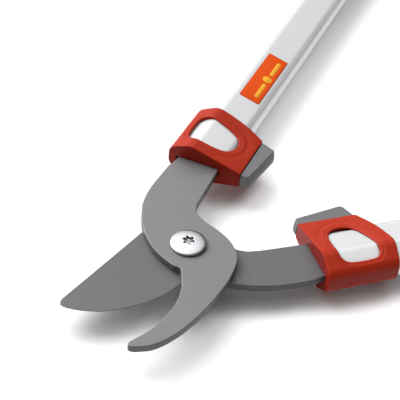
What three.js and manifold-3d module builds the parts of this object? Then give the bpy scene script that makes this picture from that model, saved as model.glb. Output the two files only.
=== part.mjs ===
// Bypass loppers. A hooked counter-blade and a cutting blade pass each other on one pivot bolt. Each of
// them is the end of an arm: a wedge-shaped aluminium tube with a moulded collar and a rubber bumper at
// the front and a two-component grip at the back.
//
// Millimetres, +Z up. The origin is the middle of the pivot nut's flat outer face, which lies on the
// table with the grips. +X runs half way between the two arms, towards the grips.
//
// An arm is drawn in its own frame: x runs along the tube from the pivot, y points to the outside of the
// tool, and z = 0 is the middle of its steel plate. The arm of the cutting blade is the mirror image of
// the arm of the counter-blade and lies one plate lower: it is turned over about x, and its sections,
// which differ above and below, are drawn turned over too.

import * as THREE from "three";
import { mergeVertices } from "three/addons/utils/BufferGeometryUtils.js";
import Module from "manifold-3d";

const wasm = await Module();
wasm.setup();

// ---------------------------------------------------------------- driving dimensions

const HALF_OPENING = THREE.MathUtils.degToRad(23.95); // each tube to the middle line, as the tool lies
const CLOSED_HALF_ANGLE = THREE.MathUtils.degToRad(8.1); // the same with the bumpers together
const FIT_GAP = 0.3; // between pieces that touch

const PLATE_THICKNESS = 4.3;
const PLATE_HALF = PLATE_THICKNESS / 2;
const BLADE_HEIGHT = 15; // middle of the cutting blade above the table
const HOOK_HEIGHT = BLADE_HEIGHT + PLATE_THICKNESS + 0.2;
const TANG_END = 112;
const TANG = { inner: 12, outer: 35 }; // narrow end of a plate, inside its tube
const PLATE_INNER_SIDE = 10.3; // straight side where the plate enters its collar
const SHOULDER = 65; // where a plate narrows to its tang
const BEVEL_WIDTH = 9; // ground face of the cutting blade
const EDGE_LAND = 0.45; // thickness left at the cutting edge

// Outlines of the plates, as points [x, y] in the frame of their arm. SIDE, BOW, JAW, SPINE, NECK, HEEL
// and EDGE are followed one after the other; a TIP or RELIEF is a corner point and the end of a curve.
const HOOK_SIDE = [[60.9, 35], [53, 36.6], [43, 37]];
const HOOK_BOW = [[31.5, 37.2], [22, 36.1], [13.5, 33.7], [1, 27.1], [-9.2, 17.4], [-14.3, 9.6], [-18, 0.2]];
const HOOK_RELIEF = [[-17.5, -1.9], [-19.1, -3.4]]; // where the bow meets the jaw
const HOOK_JAW = [[-22.4, -6.2], [-30.5, -9.9], [-43, -11.7], [-59.4, -9.4], [-73.9, -2.8]];
const HOOK_TIP = [[-77.8, -2], [-75.6, -7]];
const HOOK_SPINE = [[-70.4, -14], [-60.6, -19.9], [-49.3, -23.9], [-34, -27.2], [-15, -29.1]];
const HOOK_NECK = [
  [-4, -28.3], [4.6, -25.8], [12.6, -18.6], [17.4, -9.4], [20.5, -0.5], [24.3, 5.8], [30, 8.5],
];
const HOOK_TAIL = [36, 8.9];
const BLADE_SIDE = [[62.3, 35], [56.5, 36.5], [48, 36.5]];
const BLADE_HEEL = [[37.5, 35.6], [25.5, 32.9], [14, 28.4], [5, 24.2], [-3.5, 22], [-12, 22.4]];
const CUTTING_EDGE = [[-12, 22.4], [-23.1, 27.6], [-37, 31], [-51, 31.4], [-62.5, 28.3], [-70, 24.5]];
const BLADE_TIP = [[-74.4, 20.8], [-70.9, 17.7]];
const BLADE_BACK = [-13.5, -23.6];
const BLADE_NECK = [[-5, -27.7], [4.6, -26.4], [12, -20], [16.4, -11], [19.7, -2.8], [24.2, 4.2], [30.4, 8]];
const BLADE_TAIL = [37, 8.9];

const BOLT_RADIUS = 4;
const BUSH_RADIUS = 6;
const RUNNING_CLEARANCE = 0.1; // cutting blade on the bush
const HEAD = { radius: 9.8, rim: 0.4, seatRadius: 9.4, height: 2.7 };
const RECESS = { mean: 2.7, lobe: 0.6, depth: 2 }; // six-lobe driver socket
const HEAD_WASHER = { radius: 9, thickness: 0.3, gap: 0.1 };
const NUT_WASHER = { radius: 11, thickness: 1.2 };
const NUT = { flangeRadius: 10.5, flange: 1.6, acrossFlats: 15, floor: 1.5 };

const TUBE_START = 65.6;
const TUBE_END = 553;
const TUBE_WALL = 1.7;
// Wedge sections: where the inner side, the ridge and the outer side lie, and the half thickness at each
// of them, on the upper and on the lower side.
const TUBE_PROFILE = {
  sides: [7.2, 27, 39.4],
  upper: [5.6, 10.7, 5.2],
  lower: [5.4, 10.2, 3.2],
  innerRound: 3.3,
  outerRound: 3.2,
};
const TUBE_RIB = { y: 4.7, low: 2.4, high: 3.5 }; // thin ledge along the tube's inner side

const COLLAR_FRONT = 63;
const COLLAR_PROFILE = {
  sides: [-3.2, 28.5, 41.2],
  upper: [4.6, 12.7, 7.3],
  lower: [4.9, 12.2, 4.6],
  innerRound: 0,
  outerRound: 4,
};
const COLLAR_BACK = [[97.5, -3.2], [101.5, 6.4], [103.9, 16.9], [104.8, 28], [103, 42]];
const SLOT_OUTER_SIDE = 36.2; // outer end of the slot the plate passes through
// D-shaped opening through which the tube shows, on both faces of the collar.
const WINDOW = [
  [71.9, 25], [72.4, 18], [73.8, 12.2], [77, 8.5], [81.3, 6.9], [85.4, 7], [88.8, 8.8], [91.3, 12.3],
  [93, 17.2], [94.5, 23], [95.4, 28.6], [95.1, 32.2], [92.7, 34.8], [88.8, 35.5], [82, 35.6], [76.8, 35.1],
  [73.8, 33.6], [72.1, 30.5], [71.9, 25],
];

const BUMPER = { front: 62.8, rear: 93.4, back: 97.5, root: -3.5, corner: 2.4, half: 4, faceGap: 0.15 };
const TENON = { front: 70, back: 88, depth: 4, half: 1.8 }; // bumper's key in the collar

const INSERT_END = 118;
const RIVET = { radius: 2, half: 9.1, y: 23.5, front: 69, rear: 99.8 };

const GRIP_CENTRE = 22.05; // middle of the tube's section
const GRIP_START = 425;
const SLEEVE = { start: 444, end: 546 }; // recess of the core that holds the soft sleeve
const GRIP_END = 556;
const ARM_LENGTH = 575;
const HANGING_HOLE = { x: 565.5, radius: 4 };
const PLUG_LENGTH = 9; // part of the end cap that stands in the tube
// Grip sections along the arm: [x, half width, half thickness].
const CORE_GUARD = [[GRIP_START, 20.6, 12.8], [429, 22.6, 14.2], [434, 23.8, 14.8], [440, 22.6, 14.3]];
const CORE_RECESS = [20.6, 12.8]; // core under the soft sleeve: half width, half thickness
const CORE_LIPS = { front: [22.4, 14.2], rear: [23, 14.4], end: [23.4, 14.4], length: 0.2 };
const SLEEVE_SECTIONS = [
  [444.3, 22.4, 14.2], [456, 23.4, 14.8], [478, 24, 15], [508, 23.6, 15], [530, 22.8, 14.6],
  [545.7, 23, 14.4],
];
const CAP_SECTIONS = [
  [556.3, 23.4, 14.4], [564.3, 23, 13.8], [570, 20.6, 11.8], [573.4, 17.4, 9.6], [ARM_LENGTH, 13.6, 6.6],
];
const GRIP_ROUNDNESS = 0.86; // 1 is an ellipse, less is squarer

const LABEL = { start: 126.5, end: 177.3, inner: 11.2, outer: 24.3, thickness: 0.3, gap: 0.1 };

const CURVE_STEPS = 4; // straight pieces in each span of a curved outline
const ROUND_STEPS = 48; // sides of a full circle
const SMALL_STEPS = 24; // sides of a small circle
const GRIP_STEPS = 32; // sides of a grip section
const THROUGH = 20; // half height of a cut that passes through everything

// ---------------------------------------------------------------- materials

function material(color, roughness, metalness) {
  return new THREE.MeshStandardMaterial({ color, roughness, metalness });
}

const hookGrey = () => material(0x939393, 0.55, 0.3);
const bladeGrey = () => material(0x787878, 0.5, 0.35);
const chrome = () => material(0xd8dadd, 0.12, 1);
const zincSteel = () => material(0xa9acb0, 0.35, 1);
const blackNylon = () => material(0x1c1c1e, 0.6, 0);
const bronze = () => material(0xa9793c, 0.4, 1);
const satinAluminium = () => material(0xe9eaec, 0.35, 0.25);
const redPlastic = () => material(0xc8402a, 0.4, 0);
const greyRubber = () => material(0x757779, 0.75, 0);
const blackPlastic = () => material(0x2b2c2e, 0.6, 0);
const labelOrange = () => material(0xee4a1c, 0.35, 0);

// ---------------------------------------------------------------- solids

const vectors = (points) => points.map(([x, y]) => new THREE.Vector2(x, y));

// A closed geometry as a solid that can be joined and cut.
function solid(geometry) {
  const bare = geometry.clone();
  bare.deleteAttribute("normal");
  bare.deleteAttribute("uv");
  const merged = mergeVertices(bare);
  return new wasm.Manifold(new wasm.Mesh({
    numProp: 3,
    vertProperties: new Float32Array(merged.attributes.position.array),
    triVerts: new Uint32Array(merged.index.array),
  }));
}

function piece(name, shape, finish) {
  const { vertProperties, triVerts } = shape.getMesh();
  const geometry = new THREE.BufferGeometry();
  geometry.setAttribute("position", new THREE.BufferAttribute(vertProperties, 3));
  geometry.setIndex(new THREE.BufferAttribute(triVerts, 1));
  geometry.computeVertexNormals();
  const mesh = new THREE.Mesh(geometry, finish);
  mesh.name = name;
  return mesh;
}

// An outline in the x-y plane, as thick as from z = low to z = high.
function plate(outline, low, high) {
  const geometry = new THREE.ExtrudeGeometry(outline, {
    depth: high - low,
    bevelEnabled: false,
    curveSegments: CURVE_STEPS,
  });
  geometry.translate(0, 0, low);
  return solid(geometry);
}

// A section in the y-z plane, as long as from x = start to x = end.
function bar(section, start, end) {
  const geometry = new THREE.ExtrudeGeometry(section, {
    depth: end - start,
    bevelEnabled: false,
    curveSegments: CURVE_STEPS,
  });
  const axes = [new THREE.Vector3(0, 1, 0), new THREE.Vector3(0, 0, 1), new THREE.Vector3(1, 0, 0)];
  geometry.applyMatrix4(new THREE.Matrix4().makeBasis(...axes));
  geometry.translate(start, 0, 0);
  return solid(geometry);
}

function block(x, y, z) {
  const geometry = new THREE.BoxGeometry(x[1] - x[0], y[1] - y[0], z[1] - z[0]);
  geometry.translate((x[0] + x[1]) / 2, (y[0] + y[1]) / 2, (z[0] + z[1]) / 2);
  return solid(geometry);
}

function drum(radius, low, high, x = 0, y = 0, steps = ROUND_STEPS) {
  const geometry = new THREE.CylinderGeometry(radius, radius, high - low, steps);
  geometry.rotateX(Math.PI / 2);
  geometry.translate(x, y, (low + high) / 2);
  return solid(geometry);
}

function ring(outer, inner, low, high) {
  return drum(outer, low, high).subtract(drum(inner, low - 1, high + 1));
}

// Rings of points, each with the same number of points, skinned into one closed solid.
function skin(rings) {
  const sides = rings[0].length;
  const points = rings.flat();
  const faces = [];
  for (let step = 0; step < rings.length - 1; step += 1) {
    for (let side = 0; side < sides; side += 1) {
      const near = step * sides;
      const far = near + sides;
      const next = (side + 1) % sides;
      faces.push(near + side, near + next, far + next);
      faces.push(near + side, far + next, far + side);
    }
  }
  const last = (rings.length - 1) * sides;
  for (let side = 1; side < sides - 1; side += 1) {
    faces.push(0, side + 1, side);
    faces.push(last, last + side, last + side + 1);
  }
  const geometry = new THREE.BufferGeometry().setFromPoints(points);
  geometry.setIndex(faces);
  return solid(geometry);
}

// ---------------------------------------------------------------- tube and collar sections

// Corners of one half of a wedge section, from the inner side over the ridge to the outer side. Growth
// moves every face outwards by that much.
function wedgeCorners([innerY, ridgeY, outerY], [innerZ, ridgeZ, outerZ], growth) {
  const rise = (ridgeZ - innerZ) / (ridgeY - innerY);
  const fall = (outerZ - ridgeZ) / (outerY - ridgeY);
  const riseLift = growth * Math.hypot(1, rise);
  const fallLift = growth * Math.hypot(1, fall);
  const ridgeShift = (fallLift - riseLift) / (rise - fall);
  return [
    [innerY - growth, innerZ - rise * growth + riseLift],
    [ridgeY + ridgeShift, ridgeZ + rise * ridgeShift + riseLift],
    [outerY + growth, outerZ + fall * growth + fallLift],
  ];
}

// A closed section with a curve of the given reach in each corner.
function roundedSection(corners, reaches) {
  const section = new THREE.Shape();
  corners.forEach((corner, i) => {
    const here = new THREE.Vector2(...corner);
    const before = new THREE.Vector2(...corners.at(i - 1)).sub(here).setLength(reaches[i]).add(here);
    const after = new THREE.Vector2(...corners[(i + 1) % corners.length]).sub(here);
    after.setLength(reaches[i]).add(here);
    if (i === 0) {
      section.moveTo(before.x, before.y);
    } else {
      section.lineTo(before.x, before.y);
    }
    if (reaches[i] > 0) {
      section.quadraticCurveTo(here.x, here.y, after.x, after.y);
    }
  });
  section.closePath();
  return section;
}

// The section is drawn with its upper side towards +z when up is 1 and towards -z when up is -1.
function wedgeSection({ sides, upper, lower, innerRound, outerRound }, up, growth = 0) {
  const top = wedgeCorners(sides, upper, growth).map(([y, z]) => [y, z * up]);
  const bottom = wedgeCorners(sides, lower, growth).map(([y, z]) => [y, -z * up]);
  const inner = Math.max(innerRound + growth, 0);
  const outer = outerRound + growth;
  return roundedSection([...bottom, ...top.reverse()], [inner, 0, outer, outer, 0, inner]);
}

function tubeOutside(up, start, end, growth = 0) {
  const wedge = bar(wedgeSection(TUBE_PROFILE, up, growth), start, end);
  const reach = [TUBE_RIB.y - growth, TUBE_PROFILE.sides[0] + 1];
  const heights = [TUBE_RIB.low - growth, TUBE_RIB.high + growth].map((z) => z * up);
  return wedge.add(block([start, end], reach, heights.sort((a, b) => a - b)));
}

function tubeInside(up, start, end, gap = 0) {
  return bar(wedgeSection(TUBE_PROFILE, up, -TUBE_WALL - gap), start, end);
}

// ---------------------------------------------------------------- plates

// Both plates end in the same arm: straight sides into the collar, then a narrow tang.
function startAtTang(outline, side) {
  outline.moveTo(TANG_END, TANG.outer);
  side.forEach(([x, y]) => outline.lineTo(x, y));
}

function endAtTang(outline) {
  outline.lineTo(SHOULDER, PLATE_INNER_SIDE);
  outline.lineTo(SHOULDER, TANG.inner);
  outline.lineTo(TANG_END, TANG.inner);
  outline.closePath();
}

function rivetHoles() {
  const holes = [RIVET.front, RIVET.rear].map((x) => (
    drum(RIVET.radius + FIT_GAP, -THROUGH, THROUGH, x, RIVET.y, SMALL_STEPS)
  ));
  return holes[0].add(holes[1]);
}

function hookOutline() {
  const outline = new THREE.Shape();
  startAtTang(outline, HOOK_SIDE);
  outline.splineThru(vectors(HOOK_BOW));
  outline.quadraticCurveTo(...HOOK_RELIEF.flat());
  outline.splineThru(vectors(HOOK_JAW));
  outline.quadraticCurveTo(...HOOK_TIP.flat());
  outline.splineThru(vectors(HOOK_SPINE));
  outline.splineThru(vectors(HOOK_NECK));
  outline.lineTo(...HOOK_TAIL);
  endAtTang(outline);
  return outline;
}

function bladeOutline() {
  const outline = new THREE.Shape();
  startAtTang(outline, BLADE_SIDE);
  outline.splineThru(vectors(BLADE_HEEL));
  outline.splineThru(vectors(CUTTING_EDGE.slice(1)));
  outline.quadraticCurveTo(...BLADE_TIP.flat());
  outline.lineTo(...BLADE_BACK);
  outline.splineThru(vectors(BLADE_NECK));
  outline.lineTo(...BLADE_TAIL);
  endAtTang(outline);
  return outline;
}

// The ground face of the cutting blade slopes from the plate's back down to the edge, which lies against
// the counter-blade. This is the wedge of steel that grinding takes away.
function grinding() {
  const edge = new THREE.SplineCurve(vectors(CUTTING_EDGE));
  const slope = (PLATE_THICKNESS - EDGE_LAND) / BEVEL_WIDTH;
  const edgeHeight = EDGE_LAND - PLATE_HALF;
  const lip = 0.8; // how far the slope goes on past the edge
  const reach = 6; // how far the wedge stands out past the edge
  const head = PLATE_HALF + 2;
  const section = [
    [-BEVEL_WIDTH - 1, PLATE_HALF + slope],
    [-BEVEL_WIDTH - 1, head],
    [reach, head],
    [reach, edgeHeight - slope * lip],
    [lip, edgeHeight - slope * lip],
  ];
  const steps = CURVE_STEPS * CUTTING_EDGE.length;
  const pastTip = 8;
  const rings = [];
  for (let step = 0; step <= steps; step += 1) {
    const at = edge.getPoint(step / steps);
    const along = edge.getTangent(step / steps);
    const overrun = step === steps ? pastTip : 0;
    rings.push(section.map(([out, z]) => new THREE.Vector3(
      at.x + along.x * overrun + along.y * out,
      at.y + along.y * overrun - along.x * out,
      z,
    )));
  }
  return skin(rings);
}

function pivotHole(radius) {
  return drum(radius, -PLATE_THICKNESS, PLATE_THICKNESS);
}

function hookPlate() {
  return plate(hookOutline(), -PLATE_HALF, PLATE_HALF)
    .subtract(pivotHole(BUSH_RADIUS + FIT_GAP))
    .subtract(rivetHoles());
}

function bladePlate() {
  return plate(bladeOutline(), -PLATE_HALF, PLATE_HALF)
    .subtract(pivotHole(BUSH_RADIUS + RUNNING_CLEARANCE))
    .subtract(rivetHoles())
    .subtract(grinding());
}

// ---------------------------------------------------------------- pivot hardware, on the Z axis

const bladeBottom = BLADE_HEIGHT - PLATE_HALF;
const hookTop = HOOK_HEIGHT + PLATE_HALF;
const washerTop = hookTop + HEAD_WASHER.gap + HEAD_WASHER.thickness;
const nutTop = bladeBottom - FIT_GAP - NUT_WASHER.thickness - FIT_GAP;

function sixLobe() {
  const outline = [];
  for (let step = 0; step < ROUND_STEPS; step += 1) {
    const turn = (step / ROUND_STEPS) * Math.PI * 2;
    const radius = RECESS.mean + RECESS.lobe * Math.cos(6 * turn);
    outline.push(new THREE.Vector2(radius * Math.cos(turn), radius * Math.sin(turn)));
  }
  return new THREE.Shape(outline);
}

function pivotBolt() {
  const seat = washerTop + HEAD_WASHER.gap;
  const end = NUT.floor + FIT_GAP;
  const top = seat + HEAD.height;
  const profile = vectors([[0, end], [BOLT_RADIUS, end], [BOLT_RADIUS, seat], [HEAD.seatRadius, seat]]);
  const domeSteps = 8;
  for (let step = 0; step < domeSteps; step += 1) {
    const turn = (step / domeSteps) * (Math.PI / 2);
    const rise = (HEAD.height - HEAD.rim) * Math.sin(turn);
    profile.push(new THREE.Vector2(HEAD.radius * Math.cos(turn), seat + HEAD.rim + rise));
  }
  profile.push(new THREE.Vector2(0, top));
  const geometry = new THREE.LatheGeometry(profile, ROUND_STEPS);
  geometry.rotateX(Math.PI / 2);
  return solid(geometry).subtract(plate(sixLobe(), top - RECESS.depth, top + 1));
}

function pivotNut() {
  const flange = drum(NUT.flangeRadius, nutTop - NUT.flange, nutTop);
  const hexagon = drum(NUT.acrossFlats / Math.sqrt(3), 0, nutTop, 0, 0, 6);
  const bore = drum(BOLT_RADIUS + FIT_GAP, NUT.floor, nutTop + 1);
  return flange.add(hexagon).subtract(bore);
}

function pivot() {
  const boreRadius = BOLT_RADIUS + FIT_GAP;
  const underHead = [hookTop + HEAD_WASHER.gap, washerTop];
  const underBlade = [nutTop + FIT_GAP, nutTop + FIT_GAP + NUT_WASHER.thickness];
  const inPlates = [bladeBottom + RUNNING_CLEARANCE, hookTop - RUNNING_CLEARANCE];
  const group = new THREE.Group();
  group.add(
    piece("pivot_bolt", pivotBolt(), chrome()),
    piece("pivot_head_washer", ring(HEAD_WASHER.radius, boreRadius, ...underHead), blackNylon()),
    piece("pivot_bush", ring(BUSH_RADIUS, boreRadius, ...inPlates), bronze()),
    piece("pivot_nut_washer", ring(NUT_WASHER.radius, boreRadius, ...underBlade), zincSteel()),
    piece("pivot_nut", pivotNut(), zincSteel()),
  );
  return group;
}

// ---------------------------------------------------------------- collar and bumper

function collarPlan() {
  const [innerBack, ...otherBack] = COLLAR_BACK;
  const outline = new THREE.Shape();
  outline.moveTo(COLLAR_FRONT, -THROUGH);
  outline.lineTo(innerBack[0], -THROUGH);
  outline.lineTo(...innerBack);
  outline.splineThru(vectors(otherBack));
  outline.lineTo(COLLAR_FRONT, otherBack.at(-1)[1]);
  outline.closePath();
  return outline;
}

function windowOutline() {
  const [first, ...others] = WINDOW;
  const outline = new THREE.Shape();
  outline.moveTo(...first);
  outline.splineThru(vectors(others));
  return outline;
}

function tenon(gap = 0) {
  const reach = [BUMPER.root - 0.5, BUMPER.root + TENON.depth + gap];
  const half = TENON.half + gap;
  return block([TENON.front - gap, TENON.back + gap], reach, [-half, half]);
}

function collar(up) {
  const slotSides = [PLATE_INNER_SIDE - FIT_GAP, SLOT_OUTER_SIDE];
  const slotHalf = PLATE_HALF + FIT_GAP;
  return bar(wedgeSection(COLLAR_PROFILE, up), COLLAR_FRONT, INSERT_END)
    .intersect(plate(collarPlan(), -THROUGH, THROUGH))
    .subtract(tubeOutside(up, TUBE_START - FIT_GAP, INSERT_END + 1, FIT_GAP))
    .subtract(block([COLLAR_FRONT - 1, SHOULDER + 1], slotSides, [-slotHalf, slotHalf]))
    .subtract(plate(windowOutline(), -THROUGH, THROUGH))
    .subtract(tenon(FIT_GAP));
}

// Its inner face lies on a line through the pivot, so the two bumpers meet flat.
function bumper() {
  const { front, rear, back, root, corner, half, faceGap } = BUMPER;
  const face = (x) => faceGap - x * Math.tan(CLOSED_HALF_ANGLE);
  const outline = new THREE.Shape();
  outline.moveTo(front, root);
  outline.lineTo(front, face(front) + corner);
  outline.quadraticCurveTo(front, face(front), front + corner, face(front + corner));
  outline.lineTo(rear - corner, face(rear - corner));
  outline.quadraticCurveTo(rear, face(rear), rear + corner / 2, face(rear) + corner);
  outline.lineTo(back, root);
  outline.closePath();
  return plate(outline, -half, half).add(tenon());
}

// ---------------------------------------------------------------- inside the tube

function tube(up) {
  return tubeOutside(up, TUBE_START, TUBE_END)
    .subtract(tubeInside(up, TUBE_START - 1, TUBE_END + 1))
    .subtract(rivetHoles());
}

// Moulded filler that centres the flat tang in the tube.
function tangInsert(up) {
  const pocketSides = [TANG.inner - FIT_GAP, TANG.outer + FIT_GAP];
  const pocketHalf = PLATE_HALF + FIT_GAP;
  return tubeInside(up, TUBE_START, INSERT_END, FIT_GAP)
    .subtract(block([TUBE_START - 1, TANG_END + FIT_GAP], pocketSides, [-pocketHalf, pocketHalf]))
    .subtract(rivetHoles());
}

function rivet(x) {
  return drum(RIVET.radius, -RIVET.half, RIVET.half, x, RIVET.y, SMALL_STEPS);
}

// ---------------------------------------------------------------- grip

// A solid through the given sections; between them it runs straight.
function rounded(sections) {
  const bulge = (value) => Math.sign(value) * Math.abs(value) ** GRIP_ROUNDNESS;
  return skin(sections.map(([x, width, thickness]) => {
    const points = [];
    for (let side = 0; side < GRIP_STEPS; side += 1) {
      const turn = (side / GRIP_STEPS) * Math.PI * 2;
      const y = GRIP_CENTRE + width * bulge(Math.cos(turn));
      points.push(new THREE.Vector3(x, y, thickness * bulge(Math.sin(turn))));
    }
    return points;
  }));
}

function gripCore(up) {
  const { front, rear, end, length } = CORE_LIPS;
  const body = rounded([
    ...CORE_GUARD,
    [SLEEVE.start - length, ...front],
    [SLEEVE.start, ...CORE_RECESS],
    [SLEEVE.end, ...CORE_RECESS],
    [SLEEVE.end + length, ...rear],
    [GRIP_END, ...end],
  ]);
  return body.subtract(tubeOutside(up, GRIP_START - 1, GRIP_END + 1, FIT_GAP));
}

function softSleeve() {
  const inside = CORE_RECESS.map((half) => half + FIT_GAP);
  const bore = rounded([[SLEEVE.start - 1, ...inside], [SLEEVE.end + 1, ...inside]]);
  return rounded(SLEEVE_SECTIONS).subtract(bore);
}

function endCap(up) {
  const plug = tubeInside(up, TUBE_END - PLUG_LENGTH, CAP_SECTIONS[0][0] + 1, FIT_GAP);
  const { x, radius } = HANGING_HOLE;
  const hole = drum(radius, -THROUGH, THROUGH, x, GRIP_CENTRE, GRIP_STEPS);
  return rounded(CAP_SECTIONS).add(plug).subtract(hole);
}

// ---------------------------------------------------------------- arms

function armPieces(arm, up) {
  return [
    piece(`${arm}_tube`, tube(up), satinAluminium()),
    piece(`${arm}_collar`, collar(up), redPlastic()),
    piece(`${arm}_bumper`, bumper(), greyRubber()),
    piece(`${arm}_tang_insert`, tangInsert(up), blackPlastic()),
    piece(`${arm}_front_rivet`, rivet(RIVET.front), zincSteel()),
    piece(`${arm}_rear_rivet`, rivet(RIVET.rear), zincSteel()),
    piece(`${arm}_grip_core`, gripCore(up), redPlastic()),
    piece(`${arm}_grip_sleeve`, softSleeve(), greyRubber()),
    piece(`${arm}_end_cap`, endCap(up), blackPlastic()),
  ];
}

// Plain sticker on the sloping upper face of the tube.
function label() {
  const [innerY, ridgeY] = TUBE_PROFILE.sides;
  const [innerZ, ridgeZ] = TUBE_PROFILE.upper;
  const slope = (ridgeZ - innerZ) / (ridgeY - innerY);
  const tilt = Math.atan(slope);
  const middle = (LABEL.inner + LABEL.outer) / 2;
  const width = (LABEL.outer - LABEL.inner) / Math.cos(tilt);
  const geometry = new THREE.BoxGeometry(LABEL.end - LABEL.start, width, LABEL.thickness);
  const sticker = new THREE.Mesh(geometry, labelOrange());
  sticker.name = "hook_arm_label";
  const lift = (LABEL.gap + LABEL.thickness / 2) / Math.cos(tilt);
  sticker.position.set((LABEL.start + LABEL.end) / 2, middle, ridgeZ - slope * (ridgeY - middle) + lift);
  sticker.rotation.x = tilt;
  return sticker;
}

function hookArm() {
  const arm = new THREE.Group();
  arm.add(piece("hook_counter_blade", hookPlate(), hookGrey()), ...armPieces("hook_arm", 1), label());
  arm.position.z = HOOK_HEIGHT;
  arm.rotation.z = HALF_OPENING;
  return arm;
}

function bladeArm() {
  const turnedOver = new THREE.Group();
  turnedOver.add(piece("cutting_blade", bladePlate(), bladeGrey()), ...armPieces("blade_arm", -1));
  turnedOver.rotation.x = Math.PI;
  const arm = new THREE.Group();
  arm.add(turnedOver);
  arm.position.z = BLADE_HEIGHT;
  arm.rotation.z = -HALF_OPENING;
  return arm;
}

const group = new THREE.Group();
group.add(hookArm(), bladeArm(), pivot());

export default group;
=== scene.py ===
"""Bypass loppers: fine surfaces, materials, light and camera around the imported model.

Shapes are drawn in millimetres in the frame of an arm: x runs along the tube from the pivot, y points to
the outside of the tool, z = 0 is the middle of the arm's steel plate. The cutting blade's arm is the
mirror image of the counter-blade's arm and lies one plate lower. The scene is in metres.
"""

import math

import bpy
import numpy as np
import openvdb
from mathutils import Matrix, Vector
from mathutils.geometry import delaunay_2d_cdt, tessellate_polygon
from numpy.linalg import norm


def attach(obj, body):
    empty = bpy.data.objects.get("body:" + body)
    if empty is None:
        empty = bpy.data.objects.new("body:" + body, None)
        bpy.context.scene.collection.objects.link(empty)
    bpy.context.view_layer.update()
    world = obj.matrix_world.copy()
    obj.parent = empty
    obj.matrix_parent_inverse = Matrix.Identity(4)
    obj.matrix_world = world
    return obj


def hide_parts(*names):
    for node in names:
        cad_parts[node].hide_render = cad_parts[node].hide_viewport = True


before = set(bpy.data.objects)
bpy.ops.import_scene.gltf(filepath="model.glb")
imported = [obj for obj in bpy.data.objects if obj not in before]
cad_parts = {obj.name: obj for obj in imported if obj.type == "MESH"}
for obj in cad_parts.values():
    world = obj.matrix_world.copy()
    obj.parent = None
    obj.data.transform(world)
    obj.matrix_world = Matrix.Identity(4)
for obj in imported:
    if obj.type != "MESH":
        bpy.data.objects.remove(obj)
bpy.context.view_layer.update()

# ---------------- driving dimensions, millimetres

MM = 0.001
HALF_OPENING = math.radians(23.95)  # from the middle line to either arm, as the tool lies
CLOSED_HALF_ANGLE = math.radians(8.1)  # the same with the bumpers together
BLADE_HEIGHT = 15.0  # from the table to the middle of each plate
HOOK_HEIGHT = 19.5

# Wedge sections give the places of the inner side, the ridge and the outer side, and half the thickness
# there, above and below.
TUBE = {"start": 65.6, "end": 553, "wall": 1.7, "sides": (7.2, 27, 39.4)}
TUBE.update(upper=(5.6, 10.7, 5.2), lower=(5.4, 10.2, 3.2), round=3.2, round_in=4.2, round_ridge=5)
TUBE_LEDGE = {"edge": 4.7, "low": 2.4, "high": 3.5, "bend": 9.9, "root": 7.5, "tilt": 0.6}
TUBE_GROOVE = {"depth": 0.9, "height": 0.7}
COLLAR = {"front": 63, "sides": (-3.2, 28.5, 41.2), "upper": (4.6, 12.7, 7.3), "lower": (4.9, 12.2, 4.6)}
COLLAR_BACK = [(97.5, -3.2), (101.5, 6.4), (103.9, 16.9), (104.8, 28), (103, 42)]
COLLAR_ROUND = {"ridge": 1.8, "outer": 3.6, "inner": 0.4, "back": 0.7, "front": 0.6, "slot": 0.45}
FIT_GAP = 0.3  # between a moulded part and the metal inside it
COLLAR_SLOT = {"sides": (10, 36.2), "end": 67}
WINDOW_FRAME = {"width": 2.5, "fade": 0.55, "depth": 0.3}
WINDOW_DISH = {"away": 5, "width": 1.9, "depth": 0.3, "end": 20, "fade": 8}
WINDOW_DRAFT = 0.3
WINDOW_ROUND = 0.9
MOULD_MARK = {"at": (63.15, 0.2, -3.5), "radius": 0.6}
BUMPER = {"front": 62.8, "rear": 93.4, "back": 97.5, "root": -3.25, "half": 4, "gap": 0.15}
BUMPER_ROUND = {"edge": 0.9, "corner": 2.9, "root": 0.4}
BUMPER_STEP = {"in": 0.35, "from": 0.7, "to": 1.1}
LABEL = {"start": 126.5, "end": 177.3, "inner": 11.2, "outer": 24.3, "border": 0.55}
LABEL_BAR = {"middle": 4.1, "half": 1.2, "margin": 5, "disc": 2.9}

GRIP_CENTRE = 22.05
GRIP_START = 425
GRIP_END = 556
GRIP_ROUNDNESS = 0.86  # power of the sine and cosine in a cross-section: 1 is an ellipse
CORE_NECK = (20.6, 12.8)  # half the width and thickness of the core under the sleeve
SLEEVE = {"start": 444, "end": 546, "gap": 0.3, "round": 0.7}
FINGER_GROOVE = {"margin": 16, "pitch": 7.0, "depth": 0.85}
ARM_LENGTH = 575
HANGING_HOLE = {"x": 565.5, "radius": 4}

PLATE_HALF = 2.15
PLATE_EDGE = 0.55
HOOK_BORE = 6.3
BUSH_BORE = 6.1
RIVET_BORE = 2.3
RIVET_HOLES = [(69, 23.5), (99.8, 23.5)]
TANG_SIDES = (12, 35)
TANG_END = 112
SHOULDER = 65
BOLT_SEAT = HOOK_HEIGHT + PLATE_HALF + 0.5
HEAD = {"radius": 9.8, "rim": 0.5, "height": 2.7}
SHANK = {"radius": 4, "end": 1.8, "chamfer": 0.4}
SOCKET = {"radius": 2.75, "lobe": 0.62, "depth": 2.0}
WASHER = {"bore": 4.3, "radius": 9.05, "gap": 0.1, "thickness": 0.3}
NUT = {"flange_radius": 10.5, "flange": 1.6, "across_flats": 15, "top": 11.05, "bore": 4.3, "floor": 1.5}

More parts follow.
